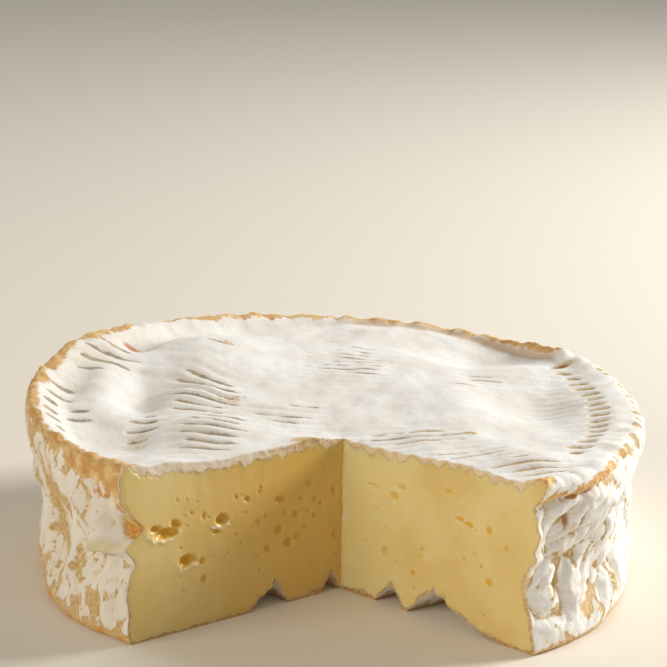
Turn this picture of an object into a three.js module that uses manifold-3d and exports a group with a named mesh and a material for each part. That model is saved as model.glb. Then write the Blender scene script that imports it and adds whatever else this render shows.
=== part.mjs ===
// A camembert with a wedge cut out of it, in millimetres.
// The origin is the centre of the round base, +Z is up and the cut-out opens towards -Y.
// The cheese is one solid: a round wheel with a raised uneven rim, a sunken grooved top,
// creased sides, two flat cut faces with eyes in them, and folds in the underside at the cuts.

import * as THREE from 'three';
import { mergeVertices } from 'three/addons/utils/BufferGeometryUtils.js';
import Module from 'manifold-3d';

const wasm = await Module();
wasm.setup();

// The wheel
const baseRadius = 53.5; // at the height where the side meets the table
const lipInset = 1.1; // the crest of the rim stands this far inside the side
const lipDrop = 1.3; // and the side begins this far below it
const wallLevels = 9; // steps from the table up the side
const grooveRow = 1.4; // from a groove's bottom to the crest beside it
const cornerGap = 0.6; // the first row of the top lies at least this far from the corner
const lastRowAngle = 72; // the last row meets the side before this angle, in degrees
const nearBack = [75, 79.5, 84.5]; // angles of the closer steps round the back, in degrees
const topColumns = 10; // steps across each half of the top
const columnEasing = 1.35; // above 1, the steps get shorter towards the rim

// The cut-out: its vertical edge, and where its two faces meet the round side
const cutApex = new THREE.Vector2(1.2, -16.2);
const leftCorner = -129.1; // degrees round the centre, from +X
const rightCorner = -52.1;

// The crest of the rim: degrees round the centre, and its height there
const rimCrest = [
  [-180, 32.4], [-155, 31.7], [-129, 31.4], [-90, 31.0], [-52, 30.5], [-25, 29.9], [8, 30.2],
  [32, 31.0], [54, 29.4], [90, 30.4], [122, 31.8], [155, 33.9], [180, 32.4],
];

// Small crags along it: how many round the wheel, height and start
const rimCrags = [
  { count: 41, height: 0.12, start: 1 },
  { count: 67, height: 0.1, start: 0 },
];

// The side's outline: height as a share of the rim's, and how far it stands out there
const sideProfile = [
  [0, -0.9], [0.06, 0], [0.14, 0.2], [0.42, -0.4], [0.6, 0.2], [0.8, 1.7], [0.92, 2.2], [1, 1.9],
];

// Swells and dents of the side: angle in degrees, height, half width round the side, half
// height, and how far it stands out (a dent is negative)
const sideSwells = [
  { name: 'waist below the right rim', angle: -9, height: 21.5, wide: 14, tall: 3.6, out: -1.6 },
  { name: 'waist at the right corner', angle: -52, height: 11.5, wide: 6, tall: 3.5, out: -1.2 },
  { name: 'hollow by the right corner', angle: -46, height: 19.5, wide: 4.5, tall: 5.5, out: -1.2 },
  { name: 'right foot', angle: -36, height: 1.5, wide: 13, tall: 4, out: 1.5 },
  { name: 'left shoulder', angle: -172, height: 25.5, wide: 14, tall: 6, out: 0.5 },
  { name: 'left waist', angle: -172, height: 10, wide: 12, tall: 6, out: -0.5 },
  { name: 'left foot', angle: -147, height: 1.5, wide: 14, tall: 4, out: 1.7 },
];

// Creases round the side: how many round the wheel, lean in radians for each mm up, depth, start
const sideCreases = [
  { count: 13, lean: 0.11, depth: 0.5, start: 0.6 },
  { count: 23, lean: -0.07, depth: 0.38, start: 2.1 },
  { count: 37, lean: 0.15, depth: 0.26, start: 4.0 },
];

// The top inside the rim: the height of its floor, and where it rises to the rim
const floorHeight = 29.2;
const floorLean = 0.012; // rise for each mm towards +X
const rimEdge = 52.5; // radius where the floor has risen to the rim
const cragEdge = 49.5; // radius where the rim's crags begin
// How far inside the rim's edge the rise begins: degrees, distance
const slopeRun = [
  [-180, 10], [-129, 9], [-52, 7], [-25, 8], [8, 11], [38, 4], [75, 4], [95, 7], [125, 10], [180, 10],
];

// Swells and dips of the floor: centre, half widths, and rise (a dip is negative)
const swells = [
  { name: 'dome', x: -26, y: 26, wide: 12, deep: 11, rise: 3.8 },
  { name: 'shoulder by the rim', x: -44, y: 14, wide: 5.5, deep: 11, rise: 2.9 },
  { name: 'pit beside the dome', x: -39, y: 28, wide: 3, deep: 2.4, rise: -2.2 },
  { name: 'valley', x: -36, y: 3, wide: 4.5, deep: 8, rise: -2.5 },
  { name: 'ridge in front of the dome', x: -27, y: 4, wide: 7, deep: 4, rise: 0.9 },
  { name: 'front bowl', x: -38, y: -19, wide: 9, deep: 9, rise: -2.3 },
  { name: 'hump beside the bowl', x: -21, y: -16, wide: 9, deep: 9, rise: 1.2 },
  { name: 'edge of the left cut', x: -28, y: -37, wide: 6, deep: 5, rise: 1.6 },
  { name: 'crumple by the point', x: -4.5, y: -20.5, wide: 4.5, deep: 4.5, rise: 1.4 },
  { name: 'right dip', x: 36, y: -1, wide: 9, deep: 13, rise: -3 },
  { name: 'hump beside the dip', x: 20, y: 2, wide: 8, deep: 14, rise: 0.8 },
  { name: 'edge of the right cut', x: 32, y: -31, wide: 7, deep: 4.5, rise: 1.3 },
  { name: 'hollow behind the back rim', x: 29, y: 35, wide: 12, deep: 9, rise: -3 },
  { name: 'swell at the back', x: 6, y: 22, wide: 10, deep: 12, rise: 0.7 },
  { name: 'sag at the cut', x: 1.2, y: -16, wide: 15, deep: 13, rise: -1.3 },
];

// Where the grooves of the mat show in the top: centre, half widths, and depth
const grooveFields = [
  { x: 27, y: -30, wide: 15, deep: 12, depth: 1.2 },
  { x: -19, y: -5, wide: 12, deep: 26, depth: 0.7 },
  { x: 47, y: 0, wide: 7, deep: 20, depth: 0.9 },
  { x: -46, y: 8, wide: 9, deep: 16, depth: 0.6 },
  { x: 18, y: -14, wide: 14, deep: 12, depth: 0.5 },
];

// Eyes in the cut faces: distance from the cut-out's edge, height, half width, half height
const rightEyes = [
  [6.7, 21.2, 1.1, 0.8], [13.0, 22.4, 1.4, 0.9], [11.5, 20.2, 0.9, 0.9], [26.2, 19.4, 2.3, 0.8],
  [9.8, 14.2, 0.8, 0.7], [9.5, 9.6, 0.8, 1.2], [31.3, 9.9, 1.0, 1.0],
];
const leftEyes = [
  [36.0, 18.9, 2.6, 1.2], [31.7, 12.5, 1.3, 1.3], [24.9, 18.2, 1.3, 1.2], [25.6, 16.4, 1.0, 0.8],
  [13.4, 19.4, 1.3, 0.8], [13.6, 14.4, 1.0, 1.0], [9.7, 16.0, 0.9, 0.8], [9.6, 11.6, 0.9, 0.9],
  [11.7, 11.2, 0.9, 0.9], [28.6, 8.3, 0.8, 0.9], [43.4, 19.8, 2.4, 1.9],
];
const eyeDepth = 0.8; // as a share of the eye's half width
const eyeSides = 8;
const eyeRings = 6;

// Folds in the underside where it meets the cut faces: from, to and peak along the face,
// the height of the opening, and how far the fold runs in under the cheese
const rightFolds = [
  { from: 7.6, to: 13.8, peak: 11.5, height: 3.9, reach: 11 },
  { from: 15.2, to: 26.0, peak: 20.2, height: 5.6, reach: 16 },
  { from: 20.0, to: 35.0, peak: 24.5, height: 3.0, reach: 8 },
];
const leftFolds = [
  { from: 0.8, to: 4.4, peak: 1.9, height: 3.6, reach: 8 },
  { from: 11.0, to: 19.2, peak: 14.2, height: 4.2, reach: 14 },
];

const rindColour = new THREE.MeshStandardMaterial({ color: 0xece6dc, roughness: 0.8, metalness: 0 });

// Points closer together than this are one point
const samePoint = 1e-4;

const radians = THREE.MathUtils.degToRad;
const degrees = THREE.MathUtils.radToDeg;
const { smoothstep } = THREE.MathUtils;

// Height read from a list of [place, value] pairs, with an easy curve from one to the next
function along(pairs, place) {
  let i = 0;
  while (i < pairs.length - 2 && place > pairs[i + 1][0]) i += 1;
  const [[a, low], [b, high]] = [pairs[i], pairs[i + 1]];
  return low + (high - low) * smoothstep(place, a, b);
}

// Sum of the crags at an angle of the rim's crest
function crags(angle) {
  let sum = 0;
  for (const crag of rimCrags) sum += crag.height * Math.sin(crag.count * angle + crag.start);
  return sum;
}

// Crest of the rim at an angle, without and with its crags
function rimHeight(angle) {
  return along(rimCrest, degrees(angle));
}

function crestHeight(angle) {
  return rimHeight(angle) + crags(angle);
}

// How far a swell or dent of the side stands out at an angle and a height
function sideSwell(swell, angle, height) {
  const turn = angle - radians(swell.angle);
  const arc = baseRadius * Math.atan2(Math.sin(turn), Math.cos(turn));
  return swell.out * Math.exp(-((arc / swell.wide) ** 2) - ((height - swell.height) / swell.tall) ** 2);
}

// Radius of the side at an angle and a height: the base radius, the outline, creases and swells
function sideRadius(angle, height) {
  const share = height / rimHeight(angle);
  const onSide = Math.sin(Math.PI * THREE.MathUtils.clamp(share, 0, 1));
  let radius = baseRadius + along(sideProfile, share);
  for (const crease of sideCreases) {
    radius += onSide * crease.depth * Math.sin(crease.count * angle + crease.lean * height + crease.start);
  }
  for (const swell of sideSwells) radius += sideSwell(swell, angle, height);
  return radius;
}

// A smooth bell: 1 at the field's centre, falling away over its half widths
function bell(field, x, y) {
  return Math.exp(-(((x - field.x) / field.wide) ** 2) - ((y - field.y) / field.deep) ** 2);
}

// Height of the top at a point: the floor and its swells, rising to the rim, less the grooves
function topHeight(x, y) {
  const radius = Math.hypot(x, y);
  const angle = Math.atan2(y, x);
  const rise = smoothstep(radius, rimEdge - along(slopeRun, degrees(angle)), rimEdge);
  const atRim = rimHeight(angle) + crags(angle) * smoothstep(radius, cragEdge, rimEdge);
  let floor = floorHeight + floorLean * x;
  for (const swell of swells) floor += swell.rise * bell(swell, x, y);
  let depth = 0;
  for (const field of grooveFields) depth = Math.max(depth, field.depth * bell(field, x, y));
  const groove = 0.5 - 0.5 * Math.cos(Math.PI * ((y - cutApex.y) / grooveRow));
  return floor + (atRim - floor) * rise - depth * (1 - rise) * groove;
}

// Point of the side at an angle and a height, on the straight line from the cut-out's edge
// to the base circle at that angle, so that a whole column of them stands in one plane
function sidePoint(angle, height, inset = 0) {
  const foot = new THREE.Vector2(Math.cos(angle), Math.sin(angle)).multiplyScalar(baseRadius);
  const way = foot.sub(cutApex).normalize();
  const radius = sideRadius(angle, height) - inset;
  const back = way.dot(cutApex);
  const length = -back + Math.sqrt(back ** 2 - cutApex.lengthSq() + radius ** 2);
  return new THREE.Vector3(cutApex.x + way.x * length, cutApex.y + way.y * length, height);
}

// Angles of the columns round one half of the side, from its corner to the back of the wheel,
// one for each row of grooves and closer ones where the rows would meet the side too flat
function columnAngles(corner, side) {
  const angles = [];
  const cornerRow = baseRadius * Math.sin(radians(corner));
  const firstRow = Math.ceil((cornerRow + cornerGap - cutApex.y) / grooveRow);
  const lastRow = Math.floor((baseRadius * Math.sin(radians(lastRowAngle)) - cutApex.y) / grooveRow);
  for (let row = firstRow; row <= lastRow; row += 1) {
    angles.push(Math.asin((cutApex.y + row * grooveRow) / baseRadius));
  }
  angles.push(...nearBack.map(radians));
  const onSide = angles.map((angle) => (side > 0 ? angle : Math.PI - angle));
  const upToHalfTurn = onSide.map((angle) => (angle > Math.PI ? angle - 2 * Math.PI : angle));
  const back = Math.acos(cutApex.x / baseRadius);
  return [radians(corner), ...upToHalfTurn, back];
}

// Where the row of the top at an angle starts: on the cut face if it lies in front of the
// cut-out's edge, else on the straight line from there to the back
function rowStart(angle, corner) {
  const y = baseRadius * Math.sin(angle);
  const share = Math.max(0, (y - cutApex.y) / (corner.y - cutApex.y));
  return new THREE.Vector2(cutApex.x + (corner.x - cutApex.x) * share, y);
}

// Triangles between two lines of the same number of points; those without area are left out
function strip(first, second, faces) {
  const apart = (a, b) => a.distanceTo(b) > samePoint;
  const add = (a, b, c) => {
    if (apart(a, b) && apart(b, c) && apart(c, a)) faces.push(a, b, c);
  };
  for (let i = 0; i + 1 < first.length; i += 1) {
    add(first[i], second[i], second[i + 1]);
    add(first[i], second[i + 1], first[i + 1]);
  }
}

// A flat face from its outline, seen along the two given axes of the plane
function flatFace(outline, toPlane, faces, flip) {
  const triangles = THREE.ShapeUtils.triangulateShape(outline.map(toPlane), []);
  for (const [a, b, c] of triangles) {
    if (flip) faces.push(outline[a], outline[c], outline[b]);
    else faces.push(outline[a], outline[b], outline[c]);
  }
}

// One half of the wheel: rows of the top, columns of the side and its cut face.
// Side is 1 for the right half and -1 for the left one. Returns the foot of the side.
function halfWheel(cornerDegrees, side, faces) {
  const angles = columnAngles(cornerDegrees, side);
  const columns = angles.map((angle) => {
    const crest = crestHeight(angle);
    const column = [];
    for (let level = 0; level <= wallLevels; level += 1) {
      column.push(sidePoint(angle, (crest - lipDrop) * (level / wallLevels)));
    }
    const lip = sidePoint(angle, crest, lipInset);
    return [...column, lip];
  });
  const corner = columns[0][columns[0].length - 1];
  const rows = columns.map((column, i) => {
    const outer = column[column.length - 1];
    const meetsAPoint = i === 0 || i === columns.length - 1;
    if (meetsAPoint) return Array.from({ length: topColumns + 1 }, () => outer);
    const start = rowStart(angles[i], corner);
    return Array.from({ length: topColumns + 1 }, (_, c) => {
      if (c === topColumns) return outer;
      const share = 1 - (1 - c / topColumns) ** columnEasing;
      const x = start.x + (outer.x - start.x) * share;
      const y = start.y + (outer.y - start.y) * share;
      return new THREE.Vector3(x, y, topHeight(x, y));
    });
  });
  const sideFaces = [];
  for (let i = 0; i + 1 < columns.length; i += 1) {
    strip(columns[i], columns[i + 1], sideFaces);
    strip(rows[i + 1], rows[i], sideFaces);
  }
  const starts = rows.slice(1).map((row) => row[0]);
  const inFront = starts.filter((start) => start.y < cutApex.y - samePoint);
  const apexTop = new THREE.Vector3(cutApex.x, cutApex.y, topHeight(cutApex.x, cutApex.y));
  const apexFoot = new THREE.Vector3(cutApex.x, cutApex.y, 0);
  const cutFace = [apexFoot, ...columns[0], ...inFront, apexTop];
  flatFace(cutFace, (p) => new THREE.Vector2(side * p.x, p.z), sideFaces, false);
  pushTurned(sideFaces, faces, side);
  return columns.map((column) => column[0]);
}

// The left half is built the other way round, so its triangles are turned over
function pushTurned(sideFaces, faces, side) {
  for (let i = 0; i < sideFaces.length; i += 3) {
    const [a, b, c] = sideFaces.slice(i, i + 3);
    faces.push(a, side > 0 ? b : c, side > 0 ? c : b);
  }
}

function wheel() {
  const faces = [];
  const rightFoot = halfWheel(rightCorner, 1, faces);
  const leftFoot = halfWheel(leftCorner, -1, faces);
  const apexFoot = new THREE.Vector3(cutApex.x, cutApex.y, 0);
  const outline = [apexFoot, ...rightFoot, ...leftFoot.slice(0, -1).reverse()];
  flatFace(outline, (p) => new THREE.Vector2(p.x, p.y), faces, true);
  return new THREE.BufferGeometry().setFromPoints(faces);
}

// A closed geometry set in a frame, as a solid that can be cut. A left-handed frame turns
// its triangles inside out, so they are turned back.
function toSolid(geometry, frame = new THREE.Matrix4()) {
  geometry.deleteAttribute('normal');
  geometry.deleteAttribute('uv');
  const merged = mergeVertices(geometry, samePoint).applyMatrix4(frame);
  const triVerts = new Uint32Array(merged.index.array);
  if (frame.determinant() < 0) triVerts.reverse();
  return new wasm.Manifold(new wasm.Mesh({
    numProp: 3,
    vertProperties: new Float32Array(merged.attributes.position.array),
    triVerts,
  }));
}

function toGeometry(solid) {
  const mesh = solid.getMesh();
  const geometry = new THREE.BufferGeometry();
  geometry.setAttribute('position', new THREE.BufferAttribute(mesh.vertProperties, 3));
  geometry.setIndex(new THREE.BufferAttribute(mesh.triVerts, 1));
  geometry.computeVertexNormals();
  return geometry;
}

// The frame of a cut face: x runs outwards along it, y goes into the cheese, z is up
function faceFrame(cornerDegrees, side) {
  const corner = new THREE.Vector2(Math.cos(radians(cornerDegrees)), Math.sin(radians(cornerDegrees)));
  const outwards = corner.multiplyScalar(baseRadius).sub(cutApex).normalize();
  const inwards = new THREE.Vector2(-outwards.y, outwards.x).multiplyScalar(side);
  return new THREE.Matrix4().makeBasis(
    new THREE.Vector3(outwards.x, outwards.y, 0),
    new THREE.Vector3(inwards.x, inwards.y, 0),
    new THREE.Vector3(0, 0, 1),
  ).setPosition(cutApex.x, cutApex.y, 0);
}

// An eye: a small flattened ball centred in the plane of the cut face
function eye([place, height, halfWidth, halfHeight]) {
  const ball = new THREE.SphereGeometry(1, eyeSides, eyeRings);
  ball.rotateZ(Math.PI / eyeSides);
  ball.scale(halfWidth, halfWidth * eyeDepth, halfHeight);
  return ball.translate(place, 0, height);
}

// A fold: a three-sided tent, open at the cut face, that sinks into the underside. Its mouth
// stands a little before the cut face and below the table, so that it cuts clean.
function fold({ from, to, peak, height, reach }) {
  const below = -1;
  const before = -1;
  const spread = 1 - before / reach;
  const mouth = [[from, below], [to, below], [peak, height]].map(([x, z]) => (
    new THREE.Vector3(peak + (x - peak) * spread, before, z)
  ));
  const tip = new THREE.Vector3(peak, reach, below);
  const [a, b, c] = mouth;
  return new THREE.BufferGeometry().setFromPoints([a, b, c, b, a, tip, c, b, tip, a, c, tip]);
}

function camembert() {
  const right = faceFrame(rightCorner, 1);
  const left = faceFrame(leftCorner, -1);
  const cuts = [
    ...[...rightEyes.map(eye), ...rightFolds.map(fold)].map((shape) => toSolid(shape, right)),
    ...[...leftEyes.map(eye), ...leftFolds.map(fold)].map((shape) => toSolid(shape, left)),
  ];
  let solid = toSolid(wheel());
  for (const cut of cuts) solid = solid.subtract(cut);
  return toGeometry(solid);
}

const group = new THREE.Group();
const cheese = new THREE.Mesh(camembert(), rindColour);
cheese.name = 'camembert';
group.add(cheese);

export default group;
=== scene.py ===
"""The looks of a camembert with a wedge cut out of it, in metres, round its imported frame.

The cheese is two closed pieces: the rind, a thin skin with its mould, crust and mat grooves,
and the paste inside it, which shows its eyes on the two cut faces.

Both are built from columns. A column is the outline of the cheese in the upright plane that
runs from the cut-out's vertical edge, the apex, out through the round side: the underside, the
rounded foot, the side, the rounded lip and the top. The first and the last column are the
edges of the two cut faces.
"""
import math

import bpy
import numpy as np
from mathutils import Matrix, Vector


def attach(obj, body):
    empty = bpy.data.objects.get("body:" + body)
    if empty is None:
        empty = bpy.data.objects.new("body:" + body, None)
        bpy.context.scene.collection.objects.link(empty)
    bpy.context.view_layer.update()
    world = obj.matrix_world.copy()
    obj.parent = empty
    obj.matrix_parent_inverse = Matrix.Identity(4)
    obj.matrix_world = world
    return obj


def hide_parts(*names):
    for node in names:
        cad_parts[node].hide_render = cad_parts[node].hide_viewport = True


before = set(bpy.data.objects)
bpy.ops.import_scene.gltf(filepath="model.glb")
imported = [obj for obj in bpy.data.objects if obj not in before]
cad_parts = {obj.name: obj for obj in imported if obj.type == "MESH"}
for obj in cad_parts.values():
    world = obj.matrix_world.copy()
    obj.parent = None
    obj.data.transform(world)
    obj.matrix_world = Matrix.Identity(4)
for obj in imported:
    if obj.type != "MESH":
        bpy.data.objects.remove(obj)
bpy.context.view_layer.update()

MM = 0.001

# The wheel
BASE_RADIUS = 53.5 * MM
APEX = np.array([1.2, -16.2]) * MM  # the cut-out's vertical edge
RIGHT_CORNER = math.radians(-52.1)  # where the cut faces meet the side, round the centre
LEFT_CORNER = math.radians(230.9)
FOOT_ROUND = 0.9 * MM
RIND_THICK = 0.55 * MM
UNDER_THICK = 0.62 * MM
TEETH_DEPTH = 1.3  # mm that the rind reaches further into the paste below a groove
PASTE_LAP = 0.12 * MM  # how far the paste reaches into the rind's inner face
RIND_HIDDEN, PASTE_HIDDEN = 2.6 * MM, 4.2 * MM  # depth of their hidden faces away from the cuts

# Height of the rim's crest: degrees round the centre, mm
RIM_CREST = [(-53, 30.5), (-25, 29.9), (8, 30.2), (32, 31.0), (54, 29.4), (90, 30.4),
             (122, 31.8), (155, 33.9), (180, 32.4), (205, 31.7), (231, 31.4)]
# How far inside the side's top the crest stands, how far above it, and how far the slope
# from the crest down to the sunken middle runs: degrees, mm
CREST_INSET = [(-53, 1.6), (-25, 2.4), (5, 2.7), (30, 2.2), (45, 0.8), (90, 1.0), (160, 1.0), (231, 1.2)]
CREST_DROP = [(-53, 1.6), (-25, 2.0), (5, 2.0), (30, 1.5), (50, 1.0), (90, 1.1), (160, 1.3), (231, 1.5)]
SLOPE_RUN = [(-53, 4), (-25, 5), (5, 8), (30, 4.5), (38, 1.7), (75, 1.8), (95, 4), (125, 7), (150, 10),
             (185, 7), (231, 7)]
# The side's outline: share of its height, mm that it stands out there
SIDE_PROFILE = [(0, -0.4), (0.12, 0.2), (0.42, -0.4), (0.6, 0.2), (0.8, 1.7), (0.92, 2.2), (1, 1.9)]
# How much further out or in the widest part of the side is: degrees, mm
SIDE_WIDER = [(-53, 0), (-30, -0.5), (0, -0.6), (25, -0.4), (50, 0), (231, 0)]
# The same at the two cut corners: mm of height, mm out
RIGHT_PROFILE = [(0, -0.1), (4.4, -0.7), (7.9, -1.1), (11.2, -1.7), (14, -1.1), (17.1, 0.5), (20.7, 1.0),
                 (23.1, 0.3), (25.9, -0.1), (28.4, 1.1), (30.4, 1.6)]
LEFT_PROFILE = [(0, -0.6), (4.6, 0.2), (8.1, 0), (11.5, -0.5), (14, -1.1), (16.6, 0.1), (21.4, 0.8),
                (25.7, 1.2), (28, 1.5), (31, 1.2)]
CORNER_REACH = math.radians(8)  # how far round the side a corner's own outline fades
LEANING_ENDS = math.radians(40), math.radians(80)  # between these the side's folds cease to lean
# The crease under the rim at the right front: degrees, mm of height, and its depth and half width
RIM_CREASE = [(-53, 25.2), (-44, 26.2), (-30, 27.6), (-16, 28.0)]
CREASE_DEPTH, CREASE_WIDE = 1.3, 0.75
CREASE_ENDS = math.radians(-24), math.radians(-15)  # between these it fades out
# Swells and dents of the side: degrees, height, half width along the side, half height, mm out
TORN_HOLE = (230.6, 20.3, 2.7, 2.0, -3.8)  # at the left corner
TORN_LIP = (227.0, 16.9, 3.4, 0.9, 3.0)  # the lip of paste below it
SIDE_SWELLS = [
    TORN_HOLE,
    TORN_LIP,
    (-9, 21.5, 14, 3.6, -1.2),  # the waist below the right rim
    (188, 25.5, 14, 6, 0.3),  # the left shoulder
    (188, 10, 12, 6, -0.5),  # and the waist below it
    (213, 0.5, 12, 2.5, 1.6),  # the two feet beside the cut-out
    (-36, 1.5, 13, 4, 1.5),
    (221, 24, 4, 5, 0.7),
    (214, 9, 3, 7, 0.8),
    (205, 15, 3.5, 12, 0.9),
    (192, 17, 2.5, 10, -0.7),
    (-46, 19.5, 4.5, 5.5, -1.9),  # the hollow by the right corner
    (-40, 8, 4, 4, 0.9),
    (-33, 22, 5, 6, 0.9),
    (-27, 12, 4, 5, -0.8),
    (-15, 18, 6, 7, 0.6),
]
# Dark pits in the side: degrees, height, half width, half height, depth, mm. The last, under the torn lip, is
# a tan patch with painted shadow beneath the lip.
SIDE_PITS = [(-49.3, 17.3, 0.7, 1.0, 0.9), (-44.3, 22.0, 0.5, 2.4, 0.7), (-41.2, 21.0, 0.5, 2.8, 0.6),
             (-37, 9.2, 1.1, 0.8, 0.8), (-45.5, 14.8, 1.2, 0.9, 0.6), (219, 19, 0.6, 0.5, 0.4),
             (212, 23, 0.5, 0.5, 0.4), (216, 11.5, 0.9, 0.5, 0.5), (226.6, 15.4, 2.8, 0.5, 0.5)]

# The sunken middle of the top
MIDDLE_HEIGHT = 29.2 * MM
MIDDLE_LEAN = 0.012  # rise for each unit towards +X
# Its swells and dips: centre, half widths and rise, mm
SWELLS = [
    (-26, 26, 12, 11, 3.8),  # the dome
    (-44, 14, 5.5, 11, 2.9),  # the shoulder by the rim
    (-39.5, 28, 3.4, 2.2, -1.5),  # the pit between them
    (-36, 3, 4.5, 8, -2.5),  # the valley in front of the dome
    (-27, 4, 7, 4, 0.9),
    (-38, -19, 9, 9, -2.3),  # the bowl at the left cut
    (-21, -16, 9, 9, 1.2),
    (36, -1, 9, 13, -3.0),  # the dip on the right
    (20, 2, 8, 14, 0.8),
    (32, -31, 7, 4.5, 1.3),
    (29, 35, 12, 9, -3.3),  # the hollow behind the back rim
    (-28, -37, 6, 5, 1.6),  # the edge of the left cut
    (-4.5, -20.5, 4.5, 4.5, 1.4),  # the crumple by the cut-out's point
    (23.2, -16.2, 1.5, 0.8, 0.6),  # a small lump
    (6, 22, 10, 12, 0.7),
    (1.2, -16, 15, 13, -1.3),  # the sag at the cut-out's point
]
# Small pits in the top: centre, half widths and depth, mm
PITS = [(-40.0, 28.0, 2.0, 0.9, 1.0), (42.9, 23.8, 2.0, 0.8, 0.9), (4.6, 30.0, 1.2, 0.7, 0.5)]

# Tan patches on the top: centre and half widths, mm, and strength
PATCHES = [(23.2, -16.2, 1.6, 0.8, 1.0), (-21.5, 27, 2.2, 1.3, 0.8), (-19.5, 1.5, 3.0, 2.2, 0.7),
           (-34, -17, 2.2, 4.5, 0.6), (-4.5, -20.5, 5.5, 2.5, 0.8), (44, 24, 2.5, 1.6, 0.8)]

# The mat's grooves: distance from one to the next, and how it closes up towards +X
GROOVE_PITCH = 2.7 * MM
GROOVE_CLOSING = 8  # share for each metre
RING_PITCH = 3.0 * MM  # on the rings at the right
RINGS_FROM, RINGS_START, RINGS_END = 43.5, -38, 32  # mm from the centre, degrees
RING_FADE = 6  # degrees over which a ring fades at its two ends
GROOVE_SLANT = (-24 * MM, 12 * MM, 6 * MM)  # on the left they run askew: where, half width, shift
# Where they show: centre, half widths, mm, then how clearly and how deep, mm
GROOVE_FIELDS = [
    (-45, 17, 8, 9, 0.98, 0.34),
    (-50, 1, 3.4, 4, 1.00, 0.45),
    (-46, -9, 2.4, 6, 1.00, 0.45),
    (-34.3, -12, 2.8, 9, 1.20, 0.60),
    (-25, 5, 6.5, 12, 1.25, 0.50),
    (-22, -17, 5.5, 12, 1.25, 0.55),
    (-23, 31, 3, 7, 0.95, 0.45),
    (-9, -6, 8, 8, 0.62, 0.25),
    (3, 24, 11, 14, 0.66, 0.25),
    (14, -17, 12, 7, 0.74, 0.30),
    (24, -26, 10, 5, 0.78, 0.35),
    (33, -34, 7, 4, 0.95, 0.50),
    (26, 15, 6, 7, 0.72, 0.20),
    (40, 2, 6, 15, 0.25, 0.18),
]
# The same on rings round the centre: radius, half width inwards and outwards, mm, from and to
# in degrees, then as above
GROOVE_RINGS = [
    (47.7, 2.3, 1.1, -36, 29, 1.3, 0.60),
    (53.8, 0.9, 1.1, -28, 31, 1.3, 0.30),
    (51.5, 1.6, 1.6, 178, 214, 0.9, 0.40),
]

# Crust on the rim: degrees round the centre, mm that it reaches down the side and onto the top
CRUST_DOWN = [(-53, 3.0), (-50, 1.0), (-48.5, 0), (32, 0), (37, 1.0), (60, 1.8),
              (80, 1.5), (118, 1.2), (129, 0.9), (132, 0), (137, 0), (140, 1.0), (165, 1.4), (178, 2.6),
              (195, 2.2), (210, 3.0), (222, 4.6), (231, 8.4)]
CRUST_IN = [(-53, 0.2), (-48.5, 0), (32, 0), (37, 1.2), (80, 1.4), (100, 1.9), (118, 2.0), (129, 0.6),
            (137, 0.4), (145, 2.2), (172, 2.0), (185, 1.4), (205, 0.9), (220, 1.2), (231, 4.2)]

# Folds of the underside at the cut faces: from, peak and to along the face, height and how far
# they run in under the cheese, mm, then how hollow their far side is
RIGHT_FOLDS = [(7.8, 11.4, 13.9, 3.9, 11, 0.8), (15.0, 20.2, 36.0, 5.7, 16, 1.7)]
LEFT_FOLDS = [(0.6, 1.9, 4.2, 3.7, 8, 0.9), (11.2, 14.0, 19.2, 4.4, 14, 0.9)]

# Eyes in the cut faces: distance from the apex, height, half width, half height, depth, mm
RIGHT_EYES = [(6.7, 21.0, 1.3, 0.6, 0.4), (13.0, 22.3, 1.5, 0.7, 0.2), (11.4, 20.3, 1.0, 1.0, 0.45),
              (25.2, 19.7, 1.5, 0.6, 0.3), (26.9, 19.2, 1.4, 0.6, 0.35), (31.1, 19.2, 0.7, 1.1, 0.25),
              (9.8, 14.3, 0.7, 0.5, 0.15), (9.5, 9.6, 0.75, 1.2, 0.6), (15.9, 7.4, 0.6, 0.55, 0.5),
              (22.8, 24.0, 0.7, 0.6, 0.25), (26.4, 12.8, 0.6, 0.7, 0.2), (31.6, 10.2, 1.0, 1.1, 0.25),
              (29.9, 12.6, 0.4, 0.4, 0.3), (34.6, 17.1, 0.6, 0.8, 0.2)]
LEFT_EYES = [(35.8, 18.3, 2.2, 1.1, 1.2), (37.6, 19.3, 1.2, 0.7, 0.9), (33.8, 19.4, 1.2, 0.9, 0.7),
             (31.7, 12.5, 1.5, 1.1, 1.2), (24.9, 18.3, 1.4, 1.1, 1.1), (25.9, 16.4, 1.0, 0.55, 0.5),
             (28.8, 11.8, 0.7, 0.7, 0.45), (28.4, 8.5, 0.8, 0.9, 0.4), (28.4, 19.7, 0.6, 0.8, 0.25),
             (22.1, 21.7, 0.5, 0.7, 0.3), (19.9, 21.0, 0.6, 0.55, 0.5), (13.3, 19.5, 1.4, 0.8, 0.6),
             (17.6, 16.2, 0.8, 1.0, 0.3), (13.4, 14.0, 1.0, 1.0, 0.6), (11.4, 11.3, 1.0, 1.0, 0.65),
             (15.6, 11.0, 0.8, 0.75, 0.45), (9.5, 11.9, 0.9, 0.8, 0.4), (9.9, 16.1, 0.9, 0.8, 0.5),
             (8.9, 18.9, 0.8, 0.6, 0.35), (5.9, 18.2, 0.6, 0.8, 0.35), (1.9, 18.9, 0.7, 1.1, 0.4),
             (1.5, 10.7, 0.8, 1.3, 0.4), (6.0, 15.1, 0.6, 0.6, 0.4), (4.7, 17.1, 0.5, 0.6, 0.35),
             (12.2, 17.0, 0.6, 0.5, 0.3), (7.3, 21.2, 0.9, 0.7, 0.3), (7.9, 13.6, 0.6, 0.5, 0.3),
             (42.6, 19.6, 0.9, 0.9, 0.5)]
# Fine eyes beside them: how many, from and to along the face, from and to in height, mm
RIGHT_FINE = (18, 2, 38, 4, 26)
LEFT_FINE = (44, 1, 34, 6, 24)
EYE_FULL = 0.34  # mm of depth at which an eye has its full colour
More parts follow.
